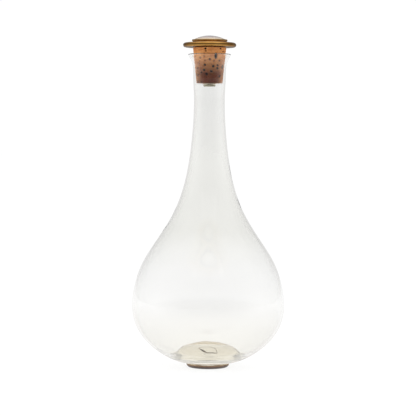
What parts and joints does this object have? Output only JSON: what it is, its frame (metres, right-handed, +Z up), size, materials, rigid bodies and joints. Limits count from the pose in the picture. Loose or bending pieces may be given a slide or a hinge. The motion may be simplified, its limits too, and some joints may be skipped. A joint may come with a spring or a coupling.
{
  "type": "wine decanter",
  "caption": "Round-bulbed blown glass wine decanter with a slender flared neck, a low ring foot and a tapered cork stopper capped by a brass disc and a domed stone.",
  "frame": {"origin": "centre of the flat underside of the ring foot, on the table", "axes": "+Z up along the axis of the bulb, the neck and the stopper; the decanter is round, so +X and +Y are free"},
  "size_m": [0.1302, 0.1302, 0.2824],
  "materials": {
    "clear_glass": "polished",
    "dark_foot": "satin",
    "cork": "matte",
    "aged_brass": "satin",
    "bright_brass": "satin",
    "cement": "matte",
    "pearly_stone": "polished",
    "pale_brass": "satin",
    "screw_brass": "satin"
  },
  "bodies": {
    "vessel": {"glass_body": "clear_glass", "foot_ring": "dark_foot"},
    "stopper": {"cork": "cork", "flange_disc": "aged_brass", "bezel_cup": "bright_brass", "stone_bed": "cement", "cabochon": "pearly_stone", "washer": "pale_brass", "tie_screw": "screw_brass"}
  },
  "joints": [
    {"name": "stopper_lift", "type": "slide", "parent": "vessel", "child": "stopper", "axis": [0, 0, 1], "range_m": [0, 0.07]}
  ]
}
